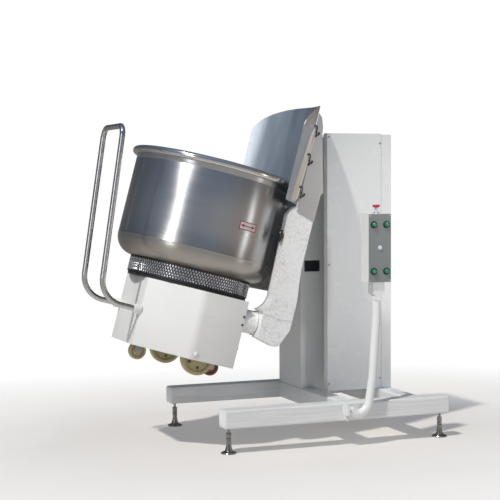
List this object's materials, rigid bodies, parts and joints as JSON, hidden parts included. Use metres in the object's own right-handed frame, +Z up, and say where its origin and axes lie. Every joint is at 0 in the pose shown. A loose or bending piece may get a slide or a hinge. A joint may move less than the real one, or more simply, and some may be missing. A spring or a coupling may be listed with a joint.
{
  "type": "bowl tipper with wheeled dough bowl",
  "caption": "Column lifter that tips a wheeled stainless dough bowl over a chute, with fork arms, floor frame and control post.",
  "frame": {"origin": "centre of the bounding box on the floor", "axes": "+X from the bowl's front towards the column's back, +Y away from the operator's control post, +Z up"},
  "size_m": [1.5883, 0.902, 1.532],
  "materials": {
    "white_paint": "semi-gloss powder coat with light orange peel",
    "cream_paint": "semi-gloss powder coat",
    "stainless": "brushed",
    "polished_stainless": "polished tube",
    "dark_steel": "oiled",
    "machined_steel": "turned",
    "black_rubber": "matt",
    "cast_wheel": "cast",
    "grey_paint": "satin",
    "green_button": "gloss",
    "red_button": "gloss",
    "lamp": "translucent",
    "window": "dark"
  },
  "bodies": {
    "root": {"near_beam": "white_paint", "far_beam": "white_paint", "front_cross_beam": "white_paint", "rear_cross_beam": "white_paint", "foot_near_front": "dark_steel", "foot_near_rear": "dark_steel", "foot_far_front": "dark_steel", "foot_far_rear": "dark_steel", "column_body": "white_paint", "near_frame": "white_paint", "near_cover": "white_paint", "rear_cover": "white_paint", "service_window": "window", "near_bearing": "machined_steel", "far_bearing": "machined_steel", "tilt_gearmotor": "dark_steel", "drive_chain": "dark_steel", "control_post": "white_paint", "post_clamp": "white_paint", "control_box": "white_paint", "control_panel": "grey_paint", "indicator_lamp": "lamp"},
    "pinion": {"motor_pinion": "machined_steel"},
    "lever": {"tilt_lever": "white_paint", "tilt_shaft": "machined_steel", "tilt_sprocket": "machined_steel", "lift_screw": "machined_steel"},
    "fork": {"near_arm": "white_paint", "far_arm": "white_paint", "near_tine": "white_paint", "far_tine": "white_paint", "back_plate": "white_paint", "near_guard": "stainless", "far_guard": "stainless", "chute": "stainless"},
    "latch": {"latch": "dark_steel"},
    "trolley": {"hood": "cream_paint", "trolley_handle": "polished_stainless", "chassis": "grey_paint", "bearing_pedestal": "grey_paint", "bearing_band": "black_rubber", "near_tine_sleeve": "grey_paint", "far_tine_sleeve": "grey_paint"},
    "bowl": {"bowl": "stainless", "bowl_base": "stainless", "drive_ring": "dark_steel"},
    "near_wheel": {"near_wheel": "cast_wheel"},
    "far_wheel": {"far_wheel": "cast_wheel"},
    "front_caster": {"front_caster_fork": "machined_steel"},
    "front_caster_wheel": {"front_caster_wheel": "cast_wheel"},
    "rear_caster": {"rear_caster_fork": "machined_steel"},
    "rear_caster_wheel": {"rear_caster_wheel": "cast_wheel"},
    "button_raise": {"button_raise": "green_button"},
    "button_lower": {"button_lower": "green_button"},
    "button_tilt": {"button_tilt": "green_button"},
    "button_return": {"button_return": "green_button"},
    "emergency_stop": {"emergency_stop": "red_button"}
  },
  "joints": [
    {"name": "frame_tilt", "type": "hinge", "parent": "root", "child": "lever", "pos_m": [0.3858, 0.039, 1.34], "axis": [0, 1, 0], "range_deg": [-15, 90]},
    {"name": "pinion_turn", "type": "hinge", "parent": "root", "child": "pinion", "pos_m": [0.3858, 0.039, 0.9], "axis": [0, 1, 0], "range_deg": [-30, 180]},
    {"name": "fork_lift", "type": "slide", "parent": "lever", "child": "fork", "axis": [0.2588, 0, 0.9659], "range_m": [-0.164, 0]},
    {"name": "latch_swing", "type": "hinge", "parent": "fork", "child": "latch", "pos_m": [-0.00426, -0.266, 0.95667], "axis": [0.9659, 0, -0.2588], "range_deg": [-30, 40]},
    {"name": "trolley_dock", "type": "slide", "parent": "fork", "child": "trolley", "axis": [-0.9659, 0, 0.2588], "range_m": [0, 0.35]},
    {"name": "bowl_spin", "type": "hinge", "parent": "trolley", "child": "bowl", "pos_m": [-0.2006, 0.039, 1.2536], "axis": [0.2588, 0, 0.9659], "continuous": true},
    {"name": "near_wheel_spin", "type": "hinge", "parent": "trolley", "child": "near_wheel", "pos_m": [-0.37618, -0.187, 0.40513], "axis": [0, 1, 0], "continuous": true},
    {"name": "far_wheel_spin", "type": "hinge", "parent": "trolley", "child": "far_wheel", "pos_m": [-0.37618, 0.265, 0.40513], "axis": [0, 1, 0], "continuous": true},
    {"name": "front_caster_swivel", "type": "hinge", "parent": "trolley", "child": "front_caster", "pos_m": [-0.60064, 0.039, 0.42904], "axis": [0.2588, 0, 0.9659], "continuous": true},
    {"name": "front_caster_spin", "type": "hinge", "parent": "front_caster", "child": "front_caster_wheel", "pos_m": [-0.58326, 0.039, 0.42438], "axis": [0, 1, 0], "continuous": true},
    {"name": "rear_caster_swivel", "type": "hinge", "parent": "trolley", "child": "rear_caster", "pos_m": [-0.25291, 0.039, 0.33587], "axis": [0.2588, 0, 0.9659], "continuous": true},
    {"name": "rear_caster_spin", "type": "hinge", "parent": "rear_caster", "child": "rear_caster_wheel", "pos_m": [-0.23552, 0.039, 0.33121], "axis": [0, 1, 0], "continuous": true},
    {"name": "button_raise_press", "type": "slide", "parent": "root", "child": "button_raise", "axis": [0, 1, 0], "range_m": [0, 0.004], "stiffness_N_per_m": 500, "springref_m": -0.002},
    {"name": "button_lower_press", "type": "slide", "parent": "root", "child": "button_lower", "axis": [0, 1, 0], "range_m": [0, 0.004], "stiffness_N_per_m": 500, "springref_m": -0.002},
    {"name": "button_tilt_press", "type": "slide", "parent": "root", "child": "button_tilt", "axis": [0, 1, 0], "range_m": [0, 0.004], "stiffness_N_per_m": 500, "springref_m": -0.002},
    {"name": "button_return_press", "type": "slide", "parent": "root", "child": "button_return", "axis": [0, 1, 0], "range_m": [0, 0.004], "stiffness_N_per_m": 500, "springref_m": -0.002},
    {"name": "emergency_stop_press", "type": "slide", "parent": "root", "child": "emergency_stop", "axis": [0, 0, -1], "range_m": [0, 0.005], "stiffness_N_per_m": 900, "springref_m": -0.002}
  ],
  "couplings": [
    {"joint": "pinion_turn", "follows": "frame_tilt", "ratio": 2}
  ]
}
